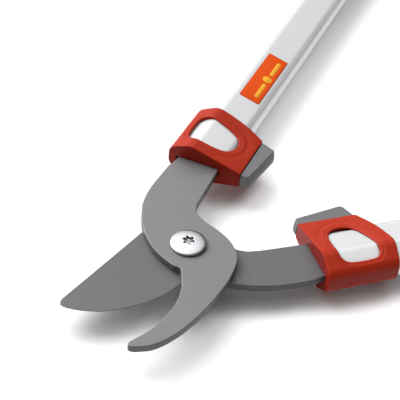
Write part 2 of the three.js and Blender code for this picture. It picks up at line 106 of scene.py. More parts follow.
# Stretches of the two plates' outlines, from the tang along the outer side to the tip and back.
HOOK_BOW = [(31.5, 37.2), (22, 36.1), (13.5, 33.7), (1, 27.1), (-9.2, 17.4), (-14.3, 9.6), (-18, 0.2)]
HOOK_JAW = [(-22.4, -6.2), (-30.5, -9.9), (-43, -11.7), (-59.4, -9.4), (-73.9, -2.8)]
HOOK_SPINE = [(-70.4, -14), (-60.6, -19.9), (-49.3, -23.9), (-34, -27.2), (-15, -29.1)]
HOOK_NECK = [(-4, -28.3), (4.6, -25.8), (12.6, -18.6), (17.4, -9.4), (20.5, -0.5), (24.3, 5.8), (30, 8.5)]
BLADE_HEEL = [(37.5, 35.6), (25.5, 32.9), (14, 28.4), (5, 24.2), (-3.5, 22), (-12, 22.8)]
CUTTING_EDGE = [BLADE_HEEL[-1], (-19.2, 26.5), (-26.6, 29.2), (-37, 31.1), (-51, 31.4), (-62.5, 28.3)]
CUTTING_EDGE += [(-70, 24.5)]
BLADE_NECK = [(-5, -27.7), (4.6, -26.4), (12, -20), (16.4, -11), (19.7, -2.8), (24.2, 4.2), (30.4, 8)]
GROUND_FACE = [BLADE_HEEL[-2], *CUTTING_EDGE]  # line that the ground face starts from
GROUND_WIDTH = 9.0
GROUND_FADE = 4.0  # length over which the ground face fades into the heel
EDGE_LAND = 0.45  # thickness left at the edge
WINDOW = [(71.9, 25), (72.4, 18), (73.8, 12.2), (77, 8.5), (81.3, 6.9), (85.4, 7), (88.8, 8.8), (91.3, 12.3)]
WINDOW += [(93, 17.2), (94.5, 23), (95.4, 28.6), (95.1, 32.2), (92.7, 34.8), (88.8, 35.5), (82, 35.6)]
WINDOW += [(76.8, 35.1), (73.8, 33.6), (72.1, 30.5)]

BACK = 104  # azimuth of the side the light comes from, in degrees

HOOK, BLADE = 1, -1
BODY = {HOOK: "hook_half", BLADE: "blade_half"}
ARM = {HOOK: "hook_arm", BLADE: "blade_arm"}


def arm_matrix(side):
    """From an arm's frame to the object's frame, in millimetres."""
    height = HOOK_HEIGHT if side == HOOK else BLADE_HEIGHT
    turn = Matrix.Rotation(side * HALF_OPENING, 4, "Z")
    return Matrix.Translation((0, 0, height)) @ turn @ Matrix.Diagonal((1, side, 1, 1))


# ---------------- outlines


def spline(points, steps=10):
    """Points on a smooth curve through the given ones, the first of them left out."""
    points = [np.array(p, float) for p in points]
    last = len(points) - 1
    found = []
    for i in range(last):
        before, here = points[max(i - 1, 0)], points[i]
        there, after = points[i + 1], points[min(i + 2, last)]
        go, come = (there - before) / 2, (after - here) / 2
        for step in range(1, steps + 1):
            t = step / steps
            cubic, square = 2 * here - 2 * there + go + come, 3 * there - 3 * here - 2 * go - come
            found.append(cubic * t**3 + square * t**2 + go * t + here)
    return found


def bezier(*controls, steps=10):
    """Points on a Bezier curve, the first of them left out."""
    found = []
    for step in range(1, steps + 1):
        t = step / steps
        level = [np.array(c, float) for c in controls]
        while len(level) > 1:
            level = [a * (1 - t) + b * t for a, b in zip(level, level[1:])]
        found.append(level[0])
    return found


def full_turn(steps):
    """Angles once around."""
    return np.arange(steps) * 2 * math.pi / steps


def quarter_turn(steps):
    """Angles from 0 to 90 degrees, both included."""
    return [math.pi / 2 * step / steps for step in range(steps + 1)]


def circle(radius, x=0.0, y=0.0, steps=64):
    turns = full_turn(steps)
    return np.stack([x + radius * np.cos(turns), y + radius * np.sin(turns)], 1)


def rounded(corners, radii, steps=5):
    """A polygon with an arc of the given radius in each corner."""
    corners = [np.array(c, float) for c in corners]
    found = []
    for i, (corner, radius) in enumerate(zip(corners, radii)):
        to_last = corners[i - 1] - corner
        to_next = corners[(i + 1) % len(corners)] - corner
        a, b = to_last / norm(to_last), to_next / norm(to_next)
        half = math.acos(np.clip(a @ b, -1, 1)) / 2
        reach = min(radius / math.tan(half), norm(to_last) * 0.48, norm(to_next) * 0.48)
        radius = reach * math.tan(half)
        centre = corner + (a + b) / norm(a + b) * (radius / math.sin(half))
        start, end = corner + a * reach - centre, corner + b * reach - centre
        sweep = math.atan2(start[0] * end[1] - start[1] * end[0], start @ end)
        for step in range(steps + 1):
            sine, cosine = math.sin(sweep * step / steps), math.cos(sweep * step / steps)
            spun = (start[0] * cosine - start[1] * sine, start[0] * sine + start[1] * cosine)
            found.append(centre + spun)
    return np.array(found)


def counter_clockwise(loop):
    loop = np.array(loop, float)
    x, y = loop[:, 0], loop[:, 1]
    area = np.sum(x * np.roll(y, -1) - y * np.roll(x, -1))
    return loop if area > 0 else loop[::-1]


def without_doubles(loop, nearest=1e-4):
    loop = np.array(loop, float)
    return loop[norm(loop - np.roll(loop, 1, 0), axis=1) > nearest]


def inset(loop, amount):
    """A counter-clockwise loop moved inwards by amount."""
    edge = np.roll(loop, -1, 0) - loop
    out = np.stack([edge[:, 1], -edge[:, 0]], 1) / norm(edge, axis=1)[:, None]
    mean = out + np.roll(out, 1, 0)
    mean /= norm(mean, axis=1)[:, None]
    miter = np.clip((mean * out).sum(1), 0.5, 1)
    return loop - mean * (amount / miter)[:, None]


def smooth_step(value):
    """0 below 0, 1 above 1, and a smooth rise between them."""
    share = np.clip(value, 0, 1)
    return share * share * (3 - 2 * share)


def inside_loop(point, loop, margin=0.0):
    """Whether a point is inside a loop, and further than margin from each of the loop's points."""
    start, end = loop, np.roll(loop, -1, 0)
    crosses = (start[:, 1] > point[1]) != (end[:, 1] > point[1])
    slope = (end - start)[crosses]
    at = start[crosses, 0] + slope[:, 0] * (point[1] - start[crosses, 1]) / slope[:, 1]
    if (point[0] < at).sum() % 2 == 0:
        return False
    return not margin or norm(loop - point, axis=1).min() > margin


def hook_outline():
    start = [(TANG_END, TANG_SIDES[1]), (60.9, TANG_SIDES[1]), (53, 36.6), (43, 37)]
    bow = spline([start[-1], *HOOK_BOW])
    relief = bezier(bow[-1], (-17.6, -3.2), (-17.7, -4.3), (-20.4, -5.2), steps=8)
    jaw = spline([relief[-1], *HOOK_JAW])
    tip = bezier(jaw[-1], (-77.8, -2), (-75.6, -7), steps=8)
    spine = spline([tip[-1], *HOOK_SPINE])
    neck = spline([spine[-1], *HOOK_NECK])
    end = [(36, 8.9), (SHOULDER, 10.4), (SHOULDER, TANG_SIDES[0]), (TANG_END, TANG_SIDES[0])]
    return counter_clockwise(without_doubles([*start, *bow, *relief, *jaw, *tip, *spine, *neck, *end]))


def blade_outline():
    start = [(TANG_END, TANG_SIDES[1]), (62.3, TANG_SIDES[1]), (56.5, 36.5), (48, 36.5)]
    heel = spline([start[-1], *BLADE_HEEL])
    edge = spline(CUTTING_EDGE)
    tip = bezier(edge[-1], (-74.4, 20.8), (-70.9, 17.7), steps=8)
    spine_start = np.array((-13.5, -23.6))
    spine = [tip[-1] + (spine_start - tip[-1]) * t for t in np.linspace(0.05, 1, 20)]
    neck = spline([spine[-1], *BLADE_NECK])
    end = [(37, 8.9), (SHOULDER, 10.2), (SHOULDER, TANG_SIDES[0]), (TANG_END, TANG_SIDES[0])]
    return counter_clockwise(without_doubles([*start, *heel, *edge, *tip, *spine, *neck, *end]))


def window_outline():
    return counter_clockwise(without_doubles(spline([*WINDOW, WINDOW[0]], 6)))


def plan_section(shape, growth=0.0):
    """Corners (y, z) of a wedge section: inner, ridge and outer, first above, then below."""
    found = []
    for heights, sign in ((shape["upper"], 1), (shape["lower"], -1)):
        (y0, y1, y2), (z0, z1, z2) = shape["sides"], heights
        rise, fall = (z1 - z0) / (y1 - y0), (z2 - z1) / (y2 - y1)
        lift_in, lift_out = growth * math.hypot(1, rise), growth * math.hypot(1, fall)
        shift = (lift_out - lift_in) / (rise - fall)
        found += [
            (y0 - growth, sign * (z0 - rise * growth + lift_in)),
            (y1 + shift, sign * (z1 + rise * shift + lift_in)),
            (y2 + growth, sign * (z2 + fall * growth + lift_out)),
        ]
    return found


# ---------------- meshes


def numbered(first, size):
    return list(range(first, first + size))


def skin(low, high, facing=1):
    """Faces between two rings of point numbers, seen from outside the rings, or inside if facing is -1."""
    found = []
    for i in range(len(low)):
        j = (i + 1) % len(low)
        found.append((low[i], low[j], high[j], high[i]) if facing > 0 else (low[i], high[i], high[j], low[j]))
    return found


def cap(points, loops, axis=2, facing=1):
    """Triangles that fill the area between flat loops of point numbers. They face along the axis, or
    against it if facing is -1."""
    across = [i for i in range(3) if i != axis]
    numbers = [i for loop in loops for i in loop]
    found = []
    for triangle in tessellate_polygon([[Vector((*points[i][across], 0)) for i in loop] for loop in loops]):
        a, b, c = (numbers[i] for i in triangle)
        u, v = (points[b] - points[a])[across], (points[c] - points[a])[across]
        found.append((a, b, c) if (u[0] * v[1] - u[1] * v[0]) * facing > 0 else (a, c, b))
    return found


def prism(loop, levels, holes=()):
    """A plate: the loop is inset by each level's first number at the height of its second number, and
    the ends are closed. Holes go straight through."""
    rings = [np.column_stack([inset(loop, amount), np.full(len(loop), z)]) for amount, z in levels]
    points, faces = loft(rings, ends="open")
    points, count, size = list(points), len(points), len(loop)
    low, high = [numbered(0, size)], [numbered(count - size, size)]
    for hole in holes:
        first, size = len(points), len(hole)
        for z in (levels[0][1], levels[-1][1]):
            points += [np.array((x, y, z)) for x, y in hole]
        low.append(numbered(first, size))
        high.append(numbered(first + size, size))
        faces += skin(low[-1], high[-1], facing=-1)
    faces += cap(points, low, facing=-1) + cap(points, high)
    return np.array(points), faces


def rounded_foot(half, radius, steps=4):
    """(inset, height) pairs up the rounded lower edge of a plate that reaches half below and above 0."""
    turns = quarter_turn(steps)
    return [(radius * (1 - math.sin(turn)), -half + radius * (1 - math.cos(turn))) for turn in turns]


def loft(rings, ends="closed"):
    """Rings of the same number of points, skinned. The ends are closed, open or joined to each other."""
    size = len(rings[0])
    numbers = [numbered(level * size, size) for level in range(len(rings))]
    faces = []
    for low, high in zip(numbers, numbers[1:]):
        faces += skin(low, high)
    if ends == "joined":
        faces += skin(numbers[-1], numbers[0])
    if ends == "closed":
        faces += [tuple(reversed(numbers[0])), tuple(numbers[-1])]
    return np.concatenate(rings), faces


def ring(radius, z, steps):
    """Points around the pivot. The radius and height can differ from point to point."""
    turns = full_turn(steps)
    return np.stack([radius * np.cos(turns), radius * np.sin(turns), z * np.ones(steps)], 1)


def superellipse(x, width, thickness, sides=96):
    """A cross-section of the grip, fuller than an ellipse. Sizes are half the width and thickness."""
    turns = full_turn(sides)

    def bulge(value):
        return np.sign(value) * np.abs(value) ** GRIP_ROUNDNESS

    y = GRIP_CENTRE + width * bulge(np.cos(turns))
    return np.stack([np.full(sides, float(x)), y, thickness * bulge(np.sin(turns))], 1)


# ---------------- shapes as distances on a grid


class Space:
    """A block of space on a grid. A shape in it is a distance that is negative inside the shape."""

    def __init__(self, low, high, step):
        self.low, self.step = np.array(low, float), step
        axes = [np.arange(a, b + step, step) for a, b in zip(low, high)]
        self.size = tuple(len(axis) for axis in axes)
        self.x, self.y, self.z = np.meshgrid(*axes, indexing="ij", sparse=True)

    def surface(self, distance):
        band = 3.0
        grid = openvdb.FloatGrid(band)
        field = np.broadcast_to(distance, self.size) / self.step
        grid.copyFromArray(np.clip(field, -band, band).astype(np.float32))
        points, _, quads = grid.convertToPolygons(isovalue=0.0)
        return self.low + points * self.step, quads

    def wedge(self, shape, growth=0.0, ridge=0.0, side=0.0):
        """The bar whose section is a wedge, with rounded ridges and a rounded outer side."""
        y0, y1, y2 = shape["sides"]
        halves = []
        for (z0, z1, z2), sign in ((shape["upper"], 1), (shape["lower"], -1)):
            rise, fall = (z1 - z0) / (y1 - y0), (z2 - z1) / (y2 - y1)
            inner = (sign * self.z - z0 - rise * (self.y - y0)) / math.hypot(1, rise)
            outer = (sign * self.z - z1 - fall * (self.y - y1)) / math.hypot(1, fall)
            halves.append(both(both(inner, outer, ridge), self.y - y2, side))
        inside = np.maximum(halves[0], halves[1])
        return np.maximum(inside, y0 - self.y) - growth


def both(a, b, radius=0.0):
    """What two shapes share. The edge where they meet is rounded."""
    if not radius:
        return np.maximum(a, b)
    corner = np.hypot(np.maximum(radius + a, 0), np.maximum(radius + b, 0))
    return np.minimum(-radius, np.maximum(a, b)) + corner


def outline_distance(space, loop):
    """Distance in x and y from a closed loop, negative inside it."""
    x, y = space.x[:, :, 0], space.y[:, :, 0]
    best = np.full(np.broadcast_shapes(x.shape, y.shape), 1e9)
    inside = np.zeros(best.shape, bool)
    for (ax, ay), (bx, by) in zip(loop, np.roll(loop, -1, 0)):
        dx, dy = bx - ax, by - ay
        along = np.clip(((x - ax) * dx + (y - ay) * dy) / (dx * dx + dy * dy), 0, 1)
        best = np.minimum(best, np.hypot(x - ax - along * dx, y - ay - along * dy))
        if ay != by:
            crosses = (ay > y) != (by > y)
            inside ^= crosses & (x < ax + dx * (y - ay) / dy)
    return np.where(inside, -best, best)[:, :, None]


# ---------------- pieces


def add_object(name, data):
    made = bpy.data.objects.new(name, data)
    bpy.context.scene.collection.objects.link(made)
    return made


def piece(name, shape, finishes, body, nodes, slot=None, side=None, crease=35, marks=None, flat_ends=False):
    """A mesh object that rides on a body and stands in for model nodes. side puts a shape drawn in an arm's
    frame in place and marks gives each face the number of its finish. slot is not used."""
    finishes = [finishes] if isinstance(finishes, str) else finishes
    points, faces = shape
    mesh = bpy.data.meshes.new(name)
    mesh.from_pydata([tuple(p) for p in points], [], [tuple(int(i) for i in f) for f in faces])
    if side is not None:
        mesh.transform(arm_matrix(side))
        if side == BLADE:
            mesh.flip_normals()
    mesh.transform(Matrix.Scale(MM, 4))
    mesh.shade_smooth()
    mesh.set_sharp_from_angle(angle=math.radians(crease))
    for finish in finishes:
        mesh.materials.append(MATERIAL[finish])
    if marks is not None:
        mesh.polygons.foreach_set("material_index", np.array(marks, np.int32))
    made = add_object(name, mesh)
    if flat_ends:
        with_modifier(made, "WEIGHTED_NORMAL", keep_sharp=True, weight=100)
    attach(made, body)
    if nodes:
        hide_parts(*nodes)
    return made


def on_both_arms(node, ending, shape, finish, **settings):
    """A piece on each arm, in place of that arm's model node."""
    return [
        piece(f"{arm}_{node}_{ending}", shape, finish, BODY[side], [f"{arm}_{node}"], side=side, **settings)
        for side, arm in ARM.items()
    ]


def with_modifier(made, kind, **settings):
    """Adds one modifier and applies it."""
    modifier = made.modifiers.new(kind.lower(), kind)
    for key, value in settings.items():
        setattr(modifier, key, value)
    graph = bpy.context.evaluated_depsgraph_get()
    mesh = bpy.data.meshes.new_from_object(made.evaluated_get(graph))
    made.modifiers.clear()
    made.data = mesh
    return made


# ---------------- materials


def feed(tree, socket, value):
    """Sets a socket's value, or links it to a node's output."""
    if isinstance(value, bpy.types.NodeSocket):
        tree.links.new(value, socket)
    else:
        socket.default_value = value


def add_node(tree, kind, inputs=None, **settings):
    made = tree.nodes.new(kind)
    for key, value in settings.items():
        setattr(made, key, value)
    for key, value in (inputs or {}).items():
        feed(tree, made.inputs[key], value)
    return made


class Recipe:
    """A material's nodes. Object coordinates are the object's own frame, in metres."""

    def __init__(self, name, color, roughness, metallic=0.0):
        self.material = bpy.data.materials.new(name)
        self.material.use_nodes = True
        self.material.diffuse_color = (*color, 1)
        self.tree = self.material.node_tree
        self.shader = self.tree.nodes["Principled BSDF"]
        self.set("Base Color", (*color, 1))
        self.set("Roughness", roughness)
        self.set("Metallic", metallic)
        self.place = self.node("ShaderNodeTexCoord").outputs["Object"]

    def set(self, name, value):
        feed(self.tree, self.shader.inputs[name], value)

    def node(self, kind, inputs=None, **settings):
        return add_node(self.tree, kind, inputs, **settings)

    def noise(self, size, detail=2.0, place=None):
        """Noise with grains of the given size in millimetres."""
        inputs = {"Vector": place or self.place, "Scale": 1 / (size * MM), "Detail": detail}
        return self.node("ShaderNodeTexNoise", inputs).outputs["Fac"]

    def along(self, side, stretch):
        """Coordinates that run along an arm and are stretched that way."""
        inputs = {"Vector": self.place, "Rotation": (0, 0, -side * HALF_OPENING)}
        turned_place = self.node("ShaderNodeMapping", inputs).outputs["Vector"]
        inputs = {"Vector": turned_place, "Scale": (1 / stretch, 1, 1)}
        return self.node("ShaderNodeMapping", inputs).outputs["Vector"]

    def ramp(self, value, low, high, at=(0.3, 0.7)):
        """Maps a value from the range at to the range low to high."""
        inputs = {"Value": value, "From Min": at[0], "From Max": at[1], "To Min": low, "To Max": high}
        return self.node("ShaderNodeMapRange", inputs).outputs["Result"]

    def tint(self, factor, dark, light=(1, 1, 1)):
        """Base colour times a tint that goes from dark to light with the factor."""
        base = self.shader.inputs["Base Color"]
        source = base.links[0].from_socket if base.links else tuple(base.default_value)
        a, b, result = 6, 7, 2  # numbers of a Mix node's sockets for colours
        inputs = {"Factor": factor, a: (*dark, 1), b: (*light, 1)}
        tint = self.node("ShaderNodeMix", inputs, data_type="RGBA").outputs[result]
        inputs = {"Factor": 1, a: source, b: tint}
        times = self.node("ShaderNodeMix", inputs, data_type="RGBA", blend_type="MULTIPLY")
        self.set("Base Color", times.outputs[result])

    def bump(self, height, depth):
        """Relief of the given depth in millimetres."""
        inputs = {"Height": height, "Distance": depth * MM, "Strength": 1.0}
        normal = self.shader.inputs["Normal"]
        if normal.links:
            inputs["Normal"] = normal.links[0].from_socket
        self.set("Normal", self.node("ShaderNodeBump", inputs).outputs["Normal"])

    def paint_wall_shade(self, tint, full_slope):
        """Paints shade on upright faces with the tint; flatter ones keep their colour where the normal rises
        past full_slope.
        """
        normal = self.node("ShaderNodeNewGeometry").outputs["True Normal"]
        rise = self.node("ShaderNodeSeparateXYZ", {"Vector": normal}).outputs["Z"]
        flatness = self.node("ShaderNodeMath", {0: rise}, operation="ABSOLUTE").outputs[0]
        self.tint(self.ramp(flatness, 0, 1, at=(0.1, full_slope)), tint)


def coated_steel(name, color):
    """Satin coating on a punched plate: soft mottling, fine grain, and painted shade that darkens its upright
    faces.
    """
    recipe = Recipe(name, color, 0.42, 0.25)
    recipe.tint(recipe.noise(26, 3), (0.93, 0.93, 0.935), (1.03, 1.03, 1.03))
    # Painted shade: the upright faces are darkened.
    recipe.paint_wall_shade((0.5, 0.5, 0.51), 0.8)
    recipe.set("Roughness", recipe.ramp(recipe.noise(4, 4), 0.38, 0.5))
    recipe.bump(recipe.noise(0.5, 3), 0.012)
    return recipe.material


def ground_steel():
    """Bare steel with fine marks of the grinding wheel across the edge."""
    recipe = Recipe("ground_steel", (0.56, 0.56, 0.57), 0.28, 1.0)
    inputs = {"Vector": recipe.place, "Rotation": (0, 0, math.radians(70)), "Scale": (1, 0.03, 1)}
    across = recipe.node("ShaderNodeMapping", inputs).outputs["Vector"]
    marks = recipe.noise(0.35, 3, across)
    recipe.set("Roughness", recipe.ramp(marks, 0.2, 0.38))
    recipe.bump(marks, 0.01)
    return recipe.material


def chrome():
    recipe = Recipe("chrome", (0.66, 0.665, 0.68), 0.1, 1.0)
    recipe.set("Roughness", recipe.ramp(recipe.noise(2.5, 4), 0.12, 0.2))
    recipe.tint(recipe.noise(7, 2), (0.94, 0.945, 0.955))
    recipe.bump(recipe.noise(3.5, 1), 0.004)
    return recipe.material


def painted_socket_shade():
    """Unpolished socket of the screw, painted dark as the shade inside the recess."""
    recipe = Recipe("socket_painted_shade", (0.42, 0.42, 0.43), 0.35, 1.0)
    recipe.tint(recipe.noise(0.7, 3), (0.6, 0.6, 0.6))
    recipe.bump(recipe.noise(0.3, 3), 0.01)
    return recipe.material


def zinc_steel():
    recipe = Recipe("zinc_steel", (0.62, 0.63, 0.65), 0.32, 1.0)
    recipe.tint(recipe.noise(2.2, 5), (0.82, 0.83, 0.85), (1.05, 1.05, 1.03))
    recipe.set("Roughness", recipe.ramp(recipe.noise(0.8, 4), 0.25, 0.42))
    recipe.bump(recipe.noise(0.3, 3), 0.006)
    return recipe.material


def bronze():
    recipe = Recipe("bronze", (0.6, 0.4, 0.18), 0.35, 1.0)
    recipe.tint(recipe.noise(0.6, 4), (0.75, 0.72, 0.66))
    recipe.bump(recipe.noise(0.25, 3), 0.01)
    return recipe.material


def satin_aluminium(name, side):
    """Extruded tube: faint lines along it and a soft satin finish."""
    recipe = Recipe(name, (0.56, 0.563, 0.57), 0.4, 0.4)
    lines = recipe.noise(0.5, 3, recipe.along(side, 60))
    clouds = recipe.noise(30, 3, recipe.along(side, 4))
    recipe.tint(clouds, (0.95, 0.952, 0.956), (1.02, 1.02, 1.02))
    recipe.tint(lines, (0.97, 0.97, 0.972), (1.01, 1.01, 1.01))
    recipe.set("Roughness", recipe.ramp(lines, 0.36, 0.46))
    recipe.bump(lines, 0.003)
    return recipe.material


def moulded(name, color, roughness, grain=0.45, depth=0.012, gloss=0.5, wall_shade=None):
    """Moulded plastic or rubber: fine texture of the mould, slight unevenness of colour and, where a shade
    colour is given, painted shade that darkens the upright faces."""
    recipe = Recipe(name, color, roughness)
    recipe.tint(recipe.noise(14, 3), (0.9, 0.88, 0.88), (1.04, 1.04, 1.04))
    recipe.set("Roughness", recipe.ramp(recipe.noise(3, 4), roughness - 0.05, roughness + 0.07))
    recipe.bump(recipe.noise(grain, 3), depth)
    recipe.set("Specular IOR Level", gloss)
    # Painted shade on the upright faces, when a shade colour is given.
    if wall_shade:
        recipe.paint_wall_shade(wall_shade, 0.6)
    return recipe.material


def printed(name, color):
    recipe = Recipe(name, color, 0.4)
    recipe.set("Specular IOR Level", 0.1)
    recipe.tint(recipe.noise(3, 3), (0.93, 0.9, 0.9))
    recipe.bump(recipe.noise(1.2, 2), 0.004)
    return recipe.material


MATERIAL = {
    # Both plate coatings carry painted shade on their upright faces.
    "hook_steel": coated_steel("hook_coating", (0.163, 0.163, 0.165)),
    "blade_steel": coated_steel("blade_coating", (0.102, 0.102, 0.104)),
    "ground_steel": ground_steel(),
    "chrome": chrome(),
    # The socket's finish is painted dark as the shade in its recess.
    "socket_painted_shade": painted_socket_shade(),
    "zinc_steel": zinc_steel(),
    "bronze": bronze(),
    # The red plastic carries painted shade on its upright faces.
    "red_plastic": moulded("red_plastic", (0.345, 0.022, 0.006), 0.42, gloss=0.12, wall_shade=(0.6, 0.42, 0.5)),
    "grey_rubber": moulded("grey_rubber", (0.118, 0.12, 0.125), 0.62, grain=0.3, depth=0.02),
    "black_plastic": moulded("black_plastic", (0.03, 0.03, 0.032), 0.5),
    "label_film": printed("label_film", (0.7, 0.075, 0.004)),
    "label_edge": printed("label_edge", (0.45, 0.035, 0.004)),
    "label_mark": printed("label_mark", (0.78, 0.38, 0.03)),
    "hook_arm_tube": satin_aluminium("tube_aluminium_hook", HOOK),
    "blade_arm_tube": satin_aluminium("tube_aluminium_blade", BLADE),
}

# ---------------- plates


def plate_holes(bore):
    return [circle(bore), *[circle(RIVET_BORE, x, y, 24) for x, y in RIVET_HOLES]]


def hook_plate():
    low = rounded_foot(PLATE_HALF, PLATE_EDGE)
    levels = low + [(amount, -z) for amount, z in reversed(low)]
    shape = prism(hook_outline(), levels, plate_holes(HOOK_BORE))
    piece(
        "hook_counter_blade_fine", shape, "hook_steel", "hook_half", ["hook_counter_blade"],
        side=HOOK, flat_ends=True,
    )


def ground_height(points):
    """Height of the blade's underside: the ground face rises from the plate's back to the edge."""
    edge = np.array([GROUND_FACE[0], *spline(GROUND_FACE)])
    start, run = edge[:-1], np.diff(edge, axis=0)
    length = norm(run, axis=1)
    passed = np.concatenate([[0], np.cumsum(length)[:-1]])
    offset = points[:, None, :] - start[None]
    along = (offset * run).sum(2) / length**2
    along[:, :-1] = np.clip(along[:, :-1], 0, 1)
    along[:, -1] = np.maximum(along[:, -1], 0)
    away = norm(offset - along[:, :, None] * run, axis=2)
    nearest = away.argmin(1)
    row = np.arange(len(points))
    travelled = passed[nearest] + along[row, nearest] * length[nearest]
    lift = np.clip(1 - away[row, nearest] / GROUND_WIDTH, 0, 1) * (2 * PLATE_HALF - EDGE_LAND)
    return -PLATE_HALF + lift * smooth_step(travelled / GROUND_FADE)


def ground_lines(outline):
    """Lines inside the outline that follow the cutting edge, up to the width of the ground face."""
    edge = np.array(spline(GROUND_FACE, 12))
    run = np.gradient(edge, axis=0)
    normal = np.stack([run[:, 1], -run[:, 0]], 1) / norm(run, axis=1)[:, None]
    if normal[0] @ edge[0] > 0:
        normal = -normal
    lines = [edge + normal * GROUND_WIDTH * share for share in (0.35, 0.7, 1.0)]
    return [[point for point in line if inside_loop(point, outline, 0.8)] for line in lines]


def blade_wall():
    """Rings up the blade's wall. Its edges are rounded, but less so where the ground face makes it low."""
    loop = blade_outline()
    inward = inset(loop, 1.0) - loop
    radius = np.minimum(PLATE_EDGE, (PLATE_HALF - ground_height(loop)) * 0.3)
    turns = quarter_turn(4)
    rings = []
    for turn in turns + turns[::-1]:
        flat = loop + inward * radius[:, None] * (1 - math.sin(turn))
        lift = radius * (1 - math.cos(turn))
        height = ground_height(flat) + lift if len(rings) < len(turns) else PLATE_HALF - lift
        rings.append(np.column_stack([flat, height]))
    return rings


def blade_underside(points, loops):
    """Faces of the underside and the number of each face's finish. loops are the outline and the holes as
    point numbers. The new points on the ground face are added to points."""
    numbers = [i for loop in loops for i in loop]
    flat = [Vector(points[i][:2]) for i in numbers]
    edges = []
    for loop in loops:
        first, size = len(edges), len(loop)
        edges += [(first + i, first + (i + 1) % size) for i in range(size)]
    outline, *holes = [np.array([points[i][:2] for i in loop]) for loop in loops]
    for line in ground_lines(outline):
        first = len(flat)
        flat += [Vector(point) for point in line]
        numbers += [None] * len(line)
        edges += [(first + i, first + i + 1) for i in range(len(line) - 1)]
    inside_of_faces, nearest = 1, 1e-5
    found, _, triangles, sources, _, _ = delaunay_2d_cdt(
        flat, edges, [numbered(0, len(outline))], inside_of_faces, nearest
    )
    index = []
    for point, origin in zip(found, sources):
        number = numbers[origin[0]] if origin else None
        if number is None:
            number = len(points)
            points.append(np.array((*point, ground_height(np.array([point]))[0])))
        index.append(number)
    faces, marks = [], []
    for a, b, c in triangles:
        middle = np.array((found[a] + found[b] + found[c]) / 3)
        if not any(inside_loop(middle, hole) for hole in holes):
            faces.append((index[a], index[c], index[b]))
            marks.append(int(ground_height(middle[None])[0] > -PLATE_HALF + 0.02))
    return faces, marks


def blade_plate():
    points, faces = loft(blade_wall(), ends="open")
    points, count, size = list(points), len(points), len(blade_outline())
    low, high = [numbered(0, size)], [numbered(count - size, size)]
    for hole in plate_holes(BUSH_BORE):
        first, size = len(points), len(hole)
        for z in (PLATE_HALF, -PLATE_HALF):
            points += [np.array((x, y, z)) for x, y in hole]
        high.append(numbered(first, size))
        low.append(numbered(first + size, size))
        faces += skin(high[-1], low[-1])
    faces += cap(points, high)
    under, under_marks = blade_underside(points, low)
    shape = (np.array(points), faces + under)
    piece(
        "cutting_blade_fine", shape, ["blade_steel", "ground_steel"], "blade_half", ["cutting_blade"],
        side=BLADE, marks=[0] * len(faces) + under_marks, flat_ends=True,
    )


# ---------------- pivot


def pivot_screw():
    """Low dome with a six-lobe socket."""
    steps = 144
    lobes = SOCKET["radius"] + SOCKET["lobe"] * np.cos(6 * full_turn(steps))
    top = BOLT_SEAT + HEAD["height"]
    rise = HEAD["height"] - HEAD["rim"]

    def dome(radius):
        """Height of the head at this distance from the axis."""
        return top - rise * (1 - np.sqrt(np.clip(1 - (radius / HEAD["radius"]) ** 2, 0, 1)))

    end, radius, chamfer = SHANK["end"], SHANK["radius"], SHANK["chamfer"]
    shank = [(radius - chamfer, end), (radius, end + chamfer), (radius, BOLT_SEAT)]
    rim = [(0.6, 0), (0.25, 0.08), (0.05, 0.25), (0, HEAD["rim"])]
    rings = [ring(r, z, steps) for r, z in shank]
    rings += [ring(HEAD["radius"] - inward, BOLT_SEAT + lift, steps) for inward, lift in rim]
    for share in (0.02, 0.06, 0.14, 0.26, 0.4, 0.55, 0.7, 0.82, 0.91, 0.96):
        reach = HEAD["radius"] * (1 - share) + (lobes + 0.5) * share
        rings.append(ring(reach, dome(reach), steps))
    for outward, drop in ((0.3, 0.0), (0.1, 0.06), (0, 0.2)):
        rings.append(ring(lobes + outward, dome(lobes + outward) - drop, steps))
    socket_start = (len(rings) - 2) * steps
    for scale, deeper in ((0.97, -0.1), (0.8, 0), (0.4, 0.25)):
        rings.append(ring(lobes * scale, top - (SOCKET["depth"] + deeper), steps))
    shape = loft(rings)
    count = len(shape[1])
    shank_end = count - 2
    marks = [int(i >= socket_start and i != shank_end) for i in range(count)]
    # The socket's faces take the painted shade of the recess.
    finishes = ["chrome", "socket_painted_shade"]
    piece("pivot_screw", shape, finishes, "hook_half", ["pivot_bolt"], crease=50, marks=marks)


def head_washer():
    low = HOOK_HEIGHT + PLATE_HALF + WASHER["gap"]
    bore, radius, thickness, chamfer = WASHER["bore"], WASHER["radius"], WASHER["thickness"], (0.15, 0.08)
    section = [
        (bore, 0), (radius - chamfer[0], 0), (radius, chamfer[1]), (radius, thickness - chamfer[1]),
        (radius - chamfer[0], thickness), (bore, thickness),
    ]
    shape = loft([ring(r, low + z, 96) for r, z in section], ends="joined")
    piece("pivot_washer_thin", shape, "black_plastic", "hook_half", ["pivot_head_washer"])


def pivot_nut():
    """Flanged hexagon with chamfered corners, closed below."""
    steps = 144
    flat, top, bore, flange = NUT["across_flats"] / 2, NUT["top"], NUT["bore"], NUT["flange_radius"]
    sixth = math.pi / 3
    hexagon = flat / np.cos((full_turn(steps) + sixth / 2) % sixth - sixth / 2)
    chamfer = [(flat - 1.2, 0), (flat - 0.2, 0), (flat + 0.35, 0.25), (flat + 0.9, 0.75)]
    rings = [ring(np.minimum(hexagon, limit), z, steps) for limit, z in chamfer]
    under = top - NUT["flange"]
    rings += [ring(hexagon, z, steps) for z in (1.4, under - 0.7)]
    profile = [
        (flange - 0.6, under - 0.1), (flange, under + 0.5), (flange, top - 0.3), (flange - 0.3, top),
        (bore + 0.3, top), (bore, top - 0.3), (bore, NUT["floor"]),
    ]
    rings += [ring(radius, z, steps) for radius, z in profile]
    piece("pivot_nut_fine", loft(rings), "zinc_steel", "hook_half", ["pivot_nut"])


# ---------------- collar and bumper


